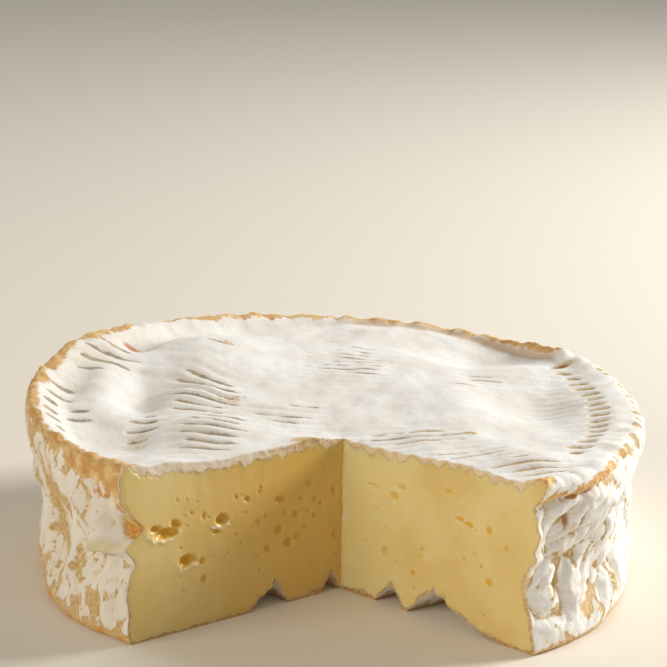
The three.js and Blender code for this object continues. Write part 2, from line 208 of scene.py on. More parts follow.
# How much deeper in colour the paste is by the apex, or paler where it is below 0, and from and to where
# along the face that fades, mm. On the right face it is painted light: paler by the apex, where the notch's
# shade falls. On the left face it is a deeper amber by the apex together with painted shade over most of the
# face.
RIGHT_PAINTED_LIGHT = (-0.9, 2, 20)
LEFT_AMBER_AND_PAINTED_SHADE = (1.0, 10, 46)

# Grid of the rind: steps round the side, and along each part of a column
COARSE = 4  # the rind's hidden inner face has every fourth column and row
AROUND = 114 * COARSE
# How close the columns stand: degrees round the centre, relative number
COLUMN_DENSITY = [(-53, 1.8), (-20, 1.8), (8, 1.1), (30, 0.75), (160, 0.75), (185, 1.3), (231, 1.8)]
FOOT_ROWS, SIDE_ROWS, LIP_ROWS, TOP_ROWS = 4, 60, 10, 102
UNDER_ROWS = 52
UNDER_END = 0.15  # share of the foot's quarter circle that is the underside's
UNDER_CUT = 0.3  # how far the underside's edge at the cuts has the look of the cut rind
BAND_ROWS = 6  # across the rind's cut edge
# Grid of the paste's cut faces, and the columns of its hidden faces
FACE_ALONG, FACE_UP = 200, 140
PASTE_FOOT, PASTE_LIP = 8, 14  # of the rows going up, those of the foot and of the lip
HIDDEN_COLUMNS = 28

# The camera, fitted to the photograph
CAMERA_PLACE = (-0.89 * MM, -327.07 * MM, 135.79 * MM)
CAMERA_DOWN = 15.97  # degrees
CAMERA_ROLL = 1.11
SENSOR = 36  # mm
LENS = 1900 / 667 * SENSOR

# Lights: place and size in metres, power in watts, colour
KEY_LIGHT = ((0.66, 0.28, 0.37), 0.25, 7.4, (1.0, 0.98, 0.95))
FILL_LIGHT = ((-0.66, -0.44, 0.36), 0.5, 2.75, (1.0, 0.885, 0.72))
LIT_POINT = (0, 0, 15 * MM)
AIR_COLOUR, AIR_STRENGTH = (1.0, 0.98, 0.95, 1.0), 0.3
GROUND_HALF = 4.0  # half the width of the ground below the cheese


# Shapes worked out with arrays


def ease(low, high, value):
    """0 below low, 1 above high, and 3t^2 - 2t^3 between them."""
    t = np.clip((value - low) / (high - low), 0, 1)
    return t * t * (3 - 2 * t)


def between(low, rise, fall, high, value):
    """0 below low and above high, 1 from rise to fall, and 3t^2 - 2t^3 on the way."""
    return ease(low, rise, value) * (1 - ease(fall, high, value))


def read_along(pairs, place):
    """Value at a place, from (place, value) pairs: between two pairs it follows 3t^2 - 2t^3."""
    places, values = np.array(pairs, float).T
    place = np.asarray(place, float)
    spot = np.clip(np.searchsorted(places, place, side="right") - 1, 0, len(places) - 2)
    return values[spot] + (values[spot + 1] - values[spot]) * ease(places[spot], places[spot + 1], place)


def round_rim(pairs, angle):
    """Length at an angle round the wheel, from pairs of degrees and mm."""
    return read_along(pairs, np.degrees(angle)) * MM


def lattice(ix, iy, iz, seed):
    """Value from -1 to 1 that belongs to a lattice point: its whole numbers are mixed by xor,
    multiplied and shifted as 32-bit numbers."""
    mixed = ((ix * 73856093) ^ (iy * 19349663) ^ (iz * 83492791) ^ (seed * 40503)) & 0xFFFFFFFF
    mixed = ((mixed ^ (mixed >> 13)) * 1274126177) & 0xFFFFFFFF
    mixed = ((mixed ^ (mixed >> 15)) * 1540483477) & 0xFFFFFFFF
    return (mixed ^ (mixed >> 16)) / 0x7FFFFFFF - 1


def noise(x, y, z, seed):
    """Gradient noise from about -1 to 1: every lattice corner has a slope of its own, and the
    heights that the eight nearest slopes give at the point are blended with 3t^2 - 2t^3."""
    place = np.broadcast_arrays(*(np.asarray(v, float) for v in (x, y, z)))
    corner = [np.floor(v).astype(np.int64) for v in place]
    part = [v - c for v, c in zip(place, corner)]
    share = [p * p * (3 - 2 * p) for p in part]
    total = np.zeros(place[0].shape)
    for step in np.ndindex(2, 2, 2):
        at = [c + s for c, s in zip(corner, step)]
        height = sum(lattice(*at, 3 * seed + k) * (part[k] - step[k]) for k in range(3))
        weight = math.prod(share[k] if step[k] else 1 - share[k] for k in range(3))
        total += height * weight
    return 1.5 * total


def cloud(x, y, z, size, octaves, seed):
    """Noise summed over octaves: each is half the size and half the strength of the one before."""
    place = [v / size for v in (x, y, z)]
    return sum(noise(*(v * 2**k for v in place), seed + k) / 2**k for k in range(octaves))


def bells(fields, x, y, column=4):
    """One bell for each field, falling off as exp(-d^2) over its half widths, times its value."""
    x, y = x / MM, y / MM
    return [f[column] * np.exp(-(((x - f[0]) / f[2]) ** 2) - ((y - f[1]) / f[3]) ** 2) for f in fields]


def crags(angle):
    """Small crags of the rim's crest: two sines, as the solid has them, and finer noise."""
    waves = 0.12 * np.sin(41 * angle + 1) + 0.1 * np.sin(67 * angle)
    return (waves + 0.4 * noise(angle * 19, 0.5, 7.3, 5) + 0.3 * noise(angle * 46, 0.5, 2.1, 6)) * MM


def leaning(angle):
    """1 on the right half, where the side's folds lean, and 0 elsewhere."""
    return 1 - ease(*LEANING_ENDS, angle)


def side_bells(fields, angle, height):
    """One bell for each swell or pit of the side, times its last value."""
    arc = [(angle - math.radians(f[0])) * BASE_RADIUS / MM / f[2] for f in fields]
    up = [(height / MM - f[1]) / f[3] for f in fields]
    return [f[4] * np.exp(-(a**2) - u**2) for f, a, u in zip(fields, arc, up)]


def above_crease(angle, height):
    """How far a point of the side is above the crease under the rim, mm."""
    return height / MM - read_along(RIM_CREASE, np.degrees(angle))


def rim_crease(angle, height, lift=0.0, wide=CREASE_WIDE):
    """1 in the middle of the crease under the rim, or above it by a lift, falling off as
    exp(-d^2) over a half width, and 0 beyond its end."""
    away = (above_crease(angle, height) - lift) / wide
    return np.exp(-(away**2)) * (1 - ease(*CREASE_ENDS, angle))


def crust_strength(angle, edge):
    """How strong the crust is: 1.15 on the crest, 0.15 where it ends on the side and on the top,
    and less where it reaches down the side by under a millimetre."""
    down, inward = round_rim(CRUST_DOWN, angle), round_rim(CRUST_IN, angle)
    strength = 1.15 - np.where(edge > 0, edge / (down + 0.1 * MM), -edge / (inward + 0.1 * MM))
    return strength - 1.2 * (1 - ease(0.1 * MM, 0.9 * MM, down))


def side_folds(angle, height):
    """How folded the side is at a point, in three sizes: each is the size of a stretched noise,
    which is zero along wandering lines, the creases. They lean on the right half."""
    arc = angle * BASE_RADIUS
    right = leaning(angle)
    wander = 2.6 * MM * noise(arc / (8 * MM), height / (7 * MM), 0.4, 11)
    lean = right * (0.15 * height + 14 * height**2)
    across = (arc - lean + wander) / ((5.2 + 1.2 * right) * MM)
    up = (height + 0.7 * wander) / ((17 - 8 * right) * MM)
    wide = np.abs(noise(across, up, 3.7, 12))
    narrow = np.abs(noise(2.1 * across + 3, (2.2 + 0.6 * right) * up, 8.2, 13))
    fine = np.abs(noise((arc + 0.6 * wander) / (1.6 * MM), height / (3.6 * MM), 5.1, 14))
    return wide, narrow, fine


def facet(fold, ridge):
    """Flat slopes between the crease, where a fold's size is 0, and a sharp ridge where it is
    the given size: 0.5 - |1 - fold / ridge|."""
    return 0.5 - np.minimum(np.abs(1 - fold / ridge), 1.2)


def side_radius(angle, height):
    """Radius of the side: the base radius and the outline at that share of the height, the
    creases that the solid has, pillows between the finer creases, which are weaker by the right
    cut and on the rim above its crease, and swells and pits."""
    crest = round_rim(RIM_CREST, angle)
    share = height / crest
    window = np.sin(np.pi * np.clip(share, 0, 1)) ** 0.7
    radius = read_along(SIDE_PROFILE, share) * MM + round_rim(SIDE_WIDER, angle) * ease(0.1, 0.9, share)
    for corner, outline in ((RIGHT_CORNER, RIGHT_PROFILE), (LEFT_CORNER, LEFT_PROFILE)):
        near = np.exp(-(((angle - corner) / CORNER_REACH) ** 2))
        radius = radius + near * (read_along(outline, height / MM) * MM - radius)
    waves = 0.5 * np.sin(13 * angle + 110 * height + 0.6) + 0.38 * np.sin(23 * angle - 70 * height + 2.1)
    wide, narrow, fine = side_folds(angle, height)
    right = leaning(angle)
    round_ones = 2.7 * (wide - 0.3) + 1.4 * (narrow - 0.3) + 0.7 * (fine - 0.3)
    crumpled = 2.1 * (wide - 0.3) + 0.9 * facet(wide, 0.34)
    crumpled = crumpled + 0.5 * (narrow - 0.3) + 0.4 * facet(narrow, 0.26)
    pillows = round_ones + right * (crumpled - round_ones)
    pillows = pillows * (0.4 + 0.6 * ease(0, math.radians(5), angle - RIGHT_CORNER))
    over_crease = ease(-0.5, 1.0, above_crease(angle, height)) * (1 - ease(*CREASE_ENDS, angle))
    pillows = pillows * (1 - 0.75 * over_crease)
    marks = sum(side_bells(SIDE_SWELLS, angle, height)) - sum(side_bells(SIDE_PITS, angle, height))
    off_the_cut = 0.25 + 0.75 * ease(0, math.radians(4), angle - RIGHT_CORNER)
    marks = marks - CREASE_DEPTH * rim_crease(angle, height) * off_the_cut
    return BASE_RADIUS + radius + (window * (0.8 * waves + pillows) + marks) * MM


def way_out(angle):
    """Direction from the apex to the base circle at an angle, as x and y."""
    foot = BASE_RADIUS * np.stack([np.cos(angle), np.sin(angle)], -1) - APEX
    return foot / np.linalg.norm(foot, axis=-1, keepdims=True)


def reach(angle, radius):
    """Distance from the apex along a column's way to a circle: the root of |apex + t way| = radius."""
    back = way_out(angle) @ APEX
    return -back + np.sqrt(back**2 - APEX @ APEX + radius**2)


def groove_phase(x, y):
    """Counts the mat's grooves across the top: y over the pitch, shifted by a tanh on the left,
    with a slow wander. By the rings on the right they have a pitch of their own."""
    place, half, shift = GROOVE_SLANT
    slant = shift * np.tanh((x - place) / half)
    wander = 1.1 * MM * noise(x / (17 * MM), y / (14 * MM), 1.3, 21)
    count = (y + slant + wander) * (1 + GROOVE_CLOSING * x) / GROOVE_PITCH
    radius, angle = np.hypot(x, y) / MM, np.degrees(np.arctan2(y, x))
    by_rings = (radius > RINGS_FROM) & (angle > RINGS_START) & (angle < RINGS_END)
    return np.where(by_rings, (y + 0.5 * wander) / RING_PITCH, count)


def ring_bells(x, y, column):
    """One bell across each ring, faded out at the ring's two ends, times its value."""
    radius, angle = np.hypot(x, y) / MM, np.degrees(np.arctan2(y, x)) % 360
    around = np.where(angle > 270, angle - 360, angle)
    values = []
    for ring in GROOVE_RINGS:
        middle, inwards, outwards, start, end = ring[:5]
        away = (radius - middle) / np.where(radius < middle, inwards, outwards)
        ends = between(start, start + RING_FADE, end - RING_FADE, end, around)
        values.append(ring[column] * ends * np.exp(-(away**2)))
    return values


def groove_field(x, y, depth=0):
    """The strongest field or ring at a point: how clearly, or with depth 1 how deep, they show."""
    return np.max(bells(GROOVE_FIELDS, x, y, 4 + depth) + ring_bells(x, y, 5 + depth), axis=0)


def groove_mask(x, y):
    """How clearly the grooves show, broken up along each groove by a noise of its own. On the
    rings they are wider, and the mask goes beyond 1."""
    row = np.floor(groove_phase(x, y))
    breaks = noise(x / (5.0 * MM), row * 3.71, 0.5, 22) + 0.5 * noise(x / (1.9 * MM), row * 5.3, 0.5, 23)
    field = groove_field(x, y)
    mask = ease(0.35, 0.85, field + 0.45 * breaks) * ease(0.08, 0.3, field)
    return mask * (1 + 0.4 * np.max(ring_bells(x, y, 5), axis=0))


def groove_dip(x, y):
    """1 in the middle of a groove, 0 on the ridge between two."""
    away = np.abs(groove_phase(x, y) % 1 - 0.5) * 2
    return 1 - ease(0.1, 0.75, away)


def top_height(x, y, angle, inside):
    """Height of the top: the middle with its swells, lifted to the crest near the rim, with the
    grooves sunk in it, deeper beside the right cut. Inside is the distance from the crest along
    the column."""
    middle = MIDDLE_HEIGHT + MIDDLE_LEAN * x + sum(bells(SWELLS, x, y)) * MM
    middle = middle - sum(bells(PITS, x, y)) * MM
    middle = middle + 0.5 * MM * cloud(x, y, 0.011, 10 * MM, 3, 31)
    crest = round_rim(RIM_CREST, angle)
    rise = 1 - ease(0, 1, inside / round_rim(SLOPE_RUN, angle))
    height = middle + (crest - middle) * rise + crags(angle) * (1 - ease(0, 3 * MM, inside))
    sunk = groove_field(x, y, 1) * groove_dip(x, y) * (0.35 + 0.65 * ease(0, 2 * MM, inside))
    sunk = sunk * (1 + 1.6 * np.exp(-(face_place(x, y, RIGHT_CORNER)[1] / 1.6) ** 2))
    return height - sunk * (0.55 + 0.45 * groove_mask(x, y)) * MM


def cut_normal(corner):
    """Direction out of the cheese, square to the cut face at a corner, as x, y and z."""
    way = way_out(np.array(corner))
    return np.array([way[1], -way[0], 0]) * (1 if corner == RIGHT_CORNER else -1)


def face_place(x, y, corner):
    """Distance along a cut face from the apex, and distance in under the cheese behind it, mm."""
    way = way_out(np.array(corner))
    inwards = -cut_normal(corner)
    along = (x - APEX[0]) * way[0] + (y - APEX[1]) * way[1]
    behind = (x - APEX[0]) * inwards[0] + (y - APEX[1]) * inwards[1]
    return along / MM, behind / MM


def under_height(x, y):
    """Height of the underside: flat, but for ragged folds that are highest at a cut face. A fold
    rises from each side to its peak by a power of the share, and sinks and narrows behind it."""
    height = np.zeros(np.shape(x))
    for corner, folds in ((RIGHT_CORNER, RIGHT_FOLDS), (LEFT_CORNER, LEFT_FOLDS)):
        along, behind = face_place(x, y, corner)
        ragged = 1 + 0.22 * noise(along / 0.9, behind / 2.5, 0.3, 36)
        for start, peak, end, tall, run, hollow in folds:
            left = 1 - np.clip(behind / run, 0, 1)
            spot = peak + (along - peak) / np.maximum(left, 0.05)
            up = np.clip((spot - start) / (peak - start), 0, 1) ** 0.8
            down = np.clip((end - spot) / (end - peak), 0, 1) ** hollow
            tent = np.minimum(up, down) * tall * left * ragged
            height = np.maximum(height, np.where(behind > -0.5, tent, 0))
    return height * MM


def column_points(angles, under, foot, side, lip, top):
    """Outline of the cheese in the plane of each column. Each part is an array of shares from 0
    to 1: the underside from the apex out, the foot's quarter circle, the side going up, the
    lip's quarter ellipse and the top from the crest back to the apex, with its rows a little
    closer by the crest. The crust adds small lumps.

    Returns points (columns, rows, 3), the tilt of the outline's outward normal in each row, and
    the distance from the crest, negative on the top and positive down the side."""
    under, foot, side, lip, top = map(np.asarray, (under, foot, side, lip, top))
    a = angles[:, None]
    crest = round_rim(RIM_CREST, a) + crags(a)
    inset, drop = round_rim(CREST_INSET, a), round_rim(CREST_DROP, a)
    lip_foot = crest - drop
    side_z = FOOT_ROUND + (lip_foot - FOOT_ROUND) * side
    side_t = reach(a, side_radius(a, side_z))
    foot_t = reach(a, side_radius(a, FOOT_ROUND))
    lip_t = reach(a, side_radius(a, lip_foot))
    parts = []
    way = way_out(angles)[:, None, :]

    def add(t, z, tilt, edge):
        """Keeps one part: its distances from the apex, its heights, tilt and edge."""
        t, z, edge = np.broadcast_arrays(t, z, edge)
        points = np.concatenate([APEX + way * t[..., None], z[..., None]], -1)
        parts.append((points, np.broadcast_to(tilt, t.shape[1:]), edge))

    if len(under):
        t = (foot_t - FOOT_ROUND) * under
        flat = APEX + way * t[..., None]
        add(t, under_height(flat[..., 0], flat[..., 1]), -math.pi / 2, crest)
    turn = foot * math.pi / 2
    foot_z = FOOT_ROUND * (1 - np.cos(turn))
    add(foot_t - FOOT_ROUND * (1 - np.sin(turn)), foot_z, turn - math.pi / 2, crest - foot_z)
    add(side_t, side_z, 0.0, crest - side_z)
    turn = lip * math.pi / 2
    lip_z = lip_foot + drop * np.sin(turn)
    add(lip_t - inset * (1 - np.cos(turn)), lip_z, turn, crest - lip_z)
    t = (lip_t - inset) * (1 - top * (0.86 + 0.14 * top))
    inside = lip_t - inset - t
    flat = APEX + way * t[..., None]
    add(t, top_height(flat[..., 0], flat[..., 1], a, inside), math.pi / 2, -inside)
    points, tilts, edges = zip(*parts)
    points, tilts, edge = np.concatenate(points, 1), np.concatenate(tilts), np.concatenate(edges, 1)
    x, y, z = np.moveaxis(points, -1, 0) / MM
    lumps = 0.3 * noise(x / 1.9, y / 1.9, z / 1.9, 33) + 0.2 * noise(x / 0.9, y / 0.9, z / 0.9, 34)
    lumps = lumps * np.clip(crust_strength(a, edge) + 0.1, 0, 1) * MM
    return points + lumps[..., None] * outward(angles, tilts), tilts, edge


def outward(angles, tilts):
    """Outward normal of the outline in each column's plane, from its tilt in each row."""
    flat = way_out(angles)[:, None, :] * np.cos(tilts)[None, :, None]
    up = np.broadcast_to(np.sin(tilts)[None, :, None], flat.shape[:2] + (1,))
    return np.concatenate([flat, up], -1)


def away_from_cuts(angles):
    """0 at the columns of the cut faces, 1 at those from 6 degrees away."""
    from_cut = np.minimum(angles - RIGHT_CORNER, LEFT_CORNER - angles)[:, None]
    return ease(math.radians(0.5), math.radians(6), from_cut)


def pushed_in(points, tilts, angles, depth):
    """Points moved inwards by a depth, in their column's plane, against the outward normal. Away
    from the cut faces they sink too, the more the higher they are, to stay inside the rim."""
    moved = points - outward(angles, tilts) * depth
    from_apex = np.linalg.norm(points[..., :2] - APEX, axis=-1)
    away = away_from_cuts(angles) * ease(0, 3 * MM, from_apex)
    sink = 0.9 * away * points[..., 2] / MIDDLE_HEIGHT
    moved[..., 2] -= sink * depth[..., 0]
    return moved


def column_angles():
    """Angles of the rind's columns, at equal steps of the running sum of their density."""
    angles = np.linspace(RIGHT_CORNER, LEFT_CORNER, 20 * AROUND)
    total = np.cumsum(read_along(COLUMN_DENSITY, np.degrees(angles)))
    return np.interp(shares(AROUND, True), (total - total[0]) / (total[-1] - total[0]), angles)


def shares(count, first=False):
    """Equal shares from 0 to 1, with or without the 0."""
    return np.linspace(0, 1, count + 1)[0 if first else 1:]


def rind_depth(points, angles, edge, hidden):
    """Thickness of the rind. At the cut faces it is uneven, and on the top it reaches further in:
    in a V below each groove on the right, in ragged drops on the left. Away from the cut faces
    it is the hidden thickness, as its inner face is coarse there."""
    x, y, z = np.moveaxis(points, -1, 0)
    right = leaning(angles)[:, None]
    uneven = RIND_THICK * (1 + 0.35 * cloud(x, y, z, 2.6 * MM, 2, 41))
    thick_low = ease(0.3 * MM, 1 * MM, edge) * (1 - ease(13 * MM, 18 * MM, z)) * right
    uneven = uneven + 0.5 * MM * thick_low * np.clip(0.7 + noise(x / MM, z / (0.8 * MM), 0.4, 48), 0, 1.5)
    count = groove_phase(x, y) * (1.6 - 0.6 * right) + 0.35 * noise(x / (3 * MM), y / (3 * MM), 0.7, 45)
    away = np.abs(count % 1 - 0.5) * 2
    teeth = TEETH_DEPTH * (1 - away**2.4) * (0.85 + 0.9 * noise(x / (4 * MM), y / (4 * MM), 0.2, 42))
    teeth = teeth + 0.3 * noise(x / (0.9 * MM), y / (0.9 * MM), 0.9, 44)
    drops = 0.5 + 0.55 * teeth + 1.3 * np.abs(noise(x / (1.5 * MM), y / (1.5 * MM), 0.6, 43))
    reaching = (right * teeth + (1 - right) * drops) * ease(0.4 * MM, 2.5 * MM, -edge) * MM
    near = uneven + reaching
    depth = near + (hidden - near) * away_from_cuts(angles)
    from_apex = np.hypot(x - APEX[0], y - APEX[1])
    return (RIND_THICK + (depth - RIND_THICK) * ease(0, 3 * MM, from_apex))[..., None]


def under_depth(points):
    """Thickness of the rind under the cheese: uneven, thick round the apex, and even at it."""
    x, y = points[..., 0] / MM, points[..., 1] / MM
    from_apex = np.hypot(x - APEX[0] / MM, y - APEX[1] / MM)
    uneven = 0.75 * noise(x / 1.2, y / 1.2, 0.3, 46) + 0.4 * noise(x / 0.5, y / 0.5, 0.3, 47)
    lump = 1.1 * np.exp(-(((from_apex - 4.5) / 2.2) ** 2))
    return (UNDER_THICK * (1 + (uneven + lump) * ease(0, 3, from_apex)))[..., None]


# Meshes from grids


def grid_faces(rows, columns, start=0, flip=False):
    """Two triangles for each cell of a grid of points numbered row by row."""
    number = start + np.arange(rows * columns).reshape(rows, columns)
    a, b, c, d = number[:-1, :-1], number[1:, :-1], number[1:, 1:], number[:-1, 1:]
    faces = np.stack([np.stack([a, b, c], -1), np.stack([a, c, d], -1)]).reshape(-1, 3)
    return faces[:, ::-1] if flip else faces


def stitch(fine, coarse, flip=False):
    """Triangles between two lines of points, where the first has COARSE steps for each of the
    other's: the first half of them meet the near coarse point, the rest the far one."""
    step = np.arange(len(coarse) - 1)
    near, far = coarse[step], coarse[step + 1]
    faces = [np.stack([near, far, fine[COARSE * step + COARSE // 2]], -1)]
    for k in range(COARSE):
        meet = near if k < COARSE // 2 else far
        faces.append(np.stack([fine[COARSE * step + k + 1], fine[COARSE * step + k], meet], -1))
    faces = np.concatenate(faces)
    return faces[:, ::-1] if flip else faces


def welded(points, faces, fields):
    """Joins points that lie in one place, and drops the triangles that this leaves flat."""
    _, keep, number = np.unique(np.round(points / 1e-7).astype(np.int64), axis=0, return_index=True,
                                return_inverse=True)
    faces = number.reshape(-1)[faces]
    whole = (faces[:, 0] != faces[:, 1]) & (faces[:, 1] != faces[:, 2]) & (faces[:, 2] != faces[:, 0])
    return points[keep], faces[whole], {name: values[keep] for name, values in fields.items()}


def joined(parts):
    """Several closed meshes, each given as points, faces and fields, as one."""
    parts = [welded(*part) for part in parts]
    starts = np.cumsum([0] + [len(part[0]) for part in parts])
    faces = [part[1] + start for part, start in zip(parts, starts)]
    fields = {name: np.concatenate([part[2][name] for part in parts]) for name in parts[0][2]}
    return np.concatenate([part[0] for part in parts]), np.concatenate(faces), fields


def add_object(name, data):
    """A new object in the scene, with its mesh, camera or light."""
    made = bpy.data.objects.new(name, data)
    bpy.context.scene.collection.objects.link(made)
    return made


def make_piece(name, parts, material):
    """A smooth mesh object from closed meshes, with one number at each point for every field."""
    points, faces, fields = joined(parts)
    mesh = bpy.data.meshes.new(name)
    mesh.from_pydata(points, [], faces)
    for field, values in fields.items():
        mesh.attributes.new(field, "FLOAT", "POINT").data.foreach_set("value", values.astype(np.float32))
    mesh.shade_smooth()
    mesh.set_sharp_from_angle(angle=math.radians(60))
    mesh.materials.append(material)
    piece = add_object(name, mesh)
    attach(piece, "root")
    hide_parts("camembert")


def worn_side(angle, height):
    """How worn the side's mould is: in the creases, in patches between them, at the foot, low
    down, and in upright streaks at the far right and the far left."""
    degrees, arc = np.degrees(angle), angle * BASE_RADIUS
    wide, narrow, fine = side_folds(angle, height)
    right = leaning(angle)
    creases = np.maximum(1 - ease(0.02, 0.13, wide), 0.85 * (1 - ease(0.01, 0.1, narrow)))
    creases = np.maximum(creases, 0.5 * (1 - ease(0.01, 0.08, fine)))
    patches = ease(-0.1, 0.45, cloud(arc, height * 0.45, 0.02, 3.0 * MM, 3, 51) - 0.16 * right)
    broad = ease(-0.5, 0.3, noise(arc / (13 * MM), height / (15 * MM), 0.6, 55))
    low = 1 - ease(3 * MM, 12 * MM, height)
    foot = 1 - ease(0.4 * MM, (3.0 - 1.4 * right) * MM, height)
    worn = creases * (0.6 + 0.4 * patches) + (0.8 - 0.4 * right) * patches * broad + 0.8 * foot
    far_right = between(-24, -12, 25, 45, degrees) * ease(12 * MM, 20 * MM, height)
    far_left = between(140, 160, 204, 222, degrees)
    worn = worn + far_right * (0.16 + 0.4 * noise(arc / (1.7 * MM), height / (8 * MM), 0.3, 58))
    streaks = far_left * (0.16 + 0.35 * noise(arc / (2.2 * MM), height / (9 * MM), 0.3, 56))
    return worn + 0.3 * low * patches + streaks


def below_lip(edge):
    """0 on the top and at the crest, 1 from a little below it."""
    return ease(0.1 * MM, 0.7 * MM, edge)


def crust_field(angle, height, edge, on_side):
    """Strength of the crust: that of the rim, or where they are stronger that of a broken band
    above the crease under the rim, mostly at the front, and that of a line at the foot."""
    front = np.exp(-(((np.degrees(angle) + 37) / 8) ** 2))
    broken = (2.1 + 1.3 * noise(angle * 34, height / (1.1 * MM), 0.6, 57)) * (0.65 + 0.65 * front)
    band = broken * below_lip(edge) * rim_crease(angle, height, 1.4, 1.45) - 0.7
    foot_top = (1.5 + 1.9 * (1 - leaning(angle))) * MM
    foot = on_side * (1.5 - 1.5 * ease(0.2 * MM, foot_top, height)) - 0.75
    return np.maximum(np.maximum(crust_strength(angle, edge), band), foot)


def rind_fields(points, angles, edge, deep, cut=0.0):
    """What the rind's material reads: the grooves' count and mask, how worn the mould is, the crust's
    strength, where a painted shade on the inner wall of the back rim's lip, bare paste, amber paste, and dark
    pit marks with a painted shade line in the crease under the rim show, the rind's depth, and the share of
    that depth that a point of the cut edge lies in."""
    x, y, z = np.moveaxis(points, -1, 0)
    a = np.broadcast_to(angles[:, None], x.shape)
    on_side = ease(0, 2.5 * MM, edge)
    worn = on_side * worn_side(a, z) + (1 - on_side) * sum(bells(PATCHES, x, y))
    # painted shade: a greyish beige on the inner wall of the rim's lip at the back right
    lip_wall_painted_shade = between(33, 38, 84, 94, np.degrees(a)) * between(0.7 * MM, 1.2 * MM, 2.2 * MM, 3.2 * MM, -edge)
    ragged = 0.8 * noise(a * 24, z / (6 * MM), 0.3, 53) + 0.6 * noise(a * 62, z / (3 * MM), 0.3, 54)
    hole, lip = side_bells((TORN_HOLE, TORN_LIP), a, z)
    hole, lip = hole / TORN_HOLE[4], lip / TORN_LIP[4]
    pits_and_painted_shade = sum(side_bells(SIDE_PITS, a, z)) + sum(bells(PITS, x, y)) * (1 - on_side)
    return {
        "groove_phase": groove_phase(x, y),
        "groove_mask": groove_mask(x, y) * (1 - ease(2.0 * MM, 3.2 * MM, edge)),
        "worn": np.clip(worn, 0, 1.2),
        "painted_lip_shade": lip_wall_painted_shade,
        "crust": np.clip(crust_field(a, z, edge, on_side) + ragged * 0.6, -1, 1.5),
        "bare": lip + hole,
        "amber": hole,
        # dark pit marks, and a painted shade line in the crease under the rim
        "pits_and_painted_shade": pits_and_painted_shade + (0.5 + ragged) * below_lip(edge) * rim_crease(a, z, -0.1, 0.35),
        "deep": np.broadcast_to(deep[..., 0] / MM, x.shape),
        "cut": np.broadcast_to(cut, x.shape),
    }


def flat_fields(parts):
    """Joins the fields of several grids into one long array for each name."""
    return {name: np.concatenate([np.ravel(part[name]) for part in parts]) for name in parts[0]}


def rind_skin():
    """The rind over the side and the top: a fine outer face, a coarse inner face one thickness
    further in that is fine again where it meets a cut face, a band across the thickness at each
    cut face, and a strip at the foot."""
    angles = column_angles()
    points, tilts, edge = column_points(
        angles, [], shares(FOOT_ROWS, True), shares(SIDE_ROWS), shares(LIP_ROWS), shares(TOP_ROWS))
    rows = points.shape[1]
    deep = rind_depth(points, angles, edge, RIND_HIDDEN)
    inner = pushed_in(points, tilts, angles, deep)
    few = np.s_[::COARSE, ::COARSE]
    grids = [points.reshape(-1, 3), inner[few].reshape(-1, 3)]
    fields = [rind_fields(points, angles, edge, deep),
              rind_fields(inner[few], angles[::COARSE], edge[few], deep[few])]
    start = (AROUND + 1) * rows
    fine = np.arange(start).reshape(AROUND + 1, rows)
    coarse = start + np.arange(len(grids[1])).reshape(inner[few].shape[:2])
    off_cuts = (coarse.shape[0] - 2, coarse.shape[1], coarse[1, 0])
    faces = [grid_faces(*fine.shape), grid_faces(*off_cuts, flip=True), stitch(fine[:, 0], coarse[:, 0])]
    start += coarse.size
    for column, corner, flip in ((0, RIGHT_CORNER, True), (AROUND, LEFT_CORNER, False)):
        band, share = rind_band(points[column], inner[column], corner)
        grids.append(band.reshape(-1, 3))
        spread = [np.broadcast_to(part[column], band.shape[:2] + part.shape[2:]) for part in (edge, deep)]
        fields.append(rind_fields(band, np.full(BAND_ROWS, corner), *spread, share))
        number = start + np.arange(BAND_ROWS * rows).reshape(BAND_ROWS, rows)
        foot = np.stack([np.full(BAND_ROWS - 2, number[0, 0]), number[1:-1, 0], number[2:, 0]], -1)
        faces.append(grid_faces(BAND_ROWS, rows, start, flip))
        faces.append(stitch(number[-1], coarse[1 if flip else -2], flip))
        faces.append(foot if flip else foot[:, ::-1])
        start += number.size
    return np.concatenate(grids), np.concatenate(faces), flat_fields(fields)


def rind_band(outer, inner, corner):
    """The rind's cut edge: lines from the outer to the inner outline, the middle ones moved out
    of and into the plane of the cut by noise. Also returns each line's share of the way."""
    share = np.linspace(0, 1, BAND_ROWS)[:, None]
    band = outer + (inner - outer) * share[..., None]
    x, y, z = np.moveaxis(band, -1, 0) / (1.1 * MM)
    lumps = 0.16 * noise(x, y, z, 61) * (1 - share**3) * MM
    lumps[[0, -1]] = 0
    lumps[:, [0, -1]] = 0
    return band + lumps[..., None] * cut_normal(corner), share


def rind_underside():
    """The rind under the cheese: a disc with the cut-out, whose folds rise behind the cut faces,
    with an inner face one thickness above it and walls round its edge."""
    near_cuts = np.sin(np.linspace(0, math.pi / 2, AROUND // COARSE + 1)) ** 2
    angles = RIGHT_CORNER + (LEFT_CORNER - RIGHT_CORNER) * near_cuts
    points, _, edge = column_points(angles, shares(UNDER_ROWS, True), [UNDER_END], [], [], [])
    deep = under_depth(points)
    above = points + deep * np.array([0, 0, 1])
    columns, rows = points.shape[:2]
    number = np.arange(2 * columns * rows).reshape(2, columns, rows)
    faces = [grid_faces(columns, rows), grid_faces(columns, rows, columns * rows, flip=True)]
    for line, flip in ((number[:, :, -1], False), (number[:, 0, :], False), (number[:, -1, :], True)):
        a, b, c, d = line[0, :-1], line[0, 1:], line[1, 1:], line[1, :-1]
        wall = np.concatenate([np.stack([a, b, c], -1), np.stack([a, c, d], -1)])
        faces.append(wall[:, ::-1] if flip else wall)
    cut = np.zeros((columns, 1))
    cut[[0, 1, -2, -1]] = UNDER_CUT
    fields = [rind_fields(layer, angles, edge, deep, cut) for layer in (points, above)]
    return np.stack([points, above]).reshape(-1, 3), np.concatenate(faces), flat_fields(fields)


def make_rind(material):
    make_piece("camembert_rind", [rind_skin(), rind_underside()], material)


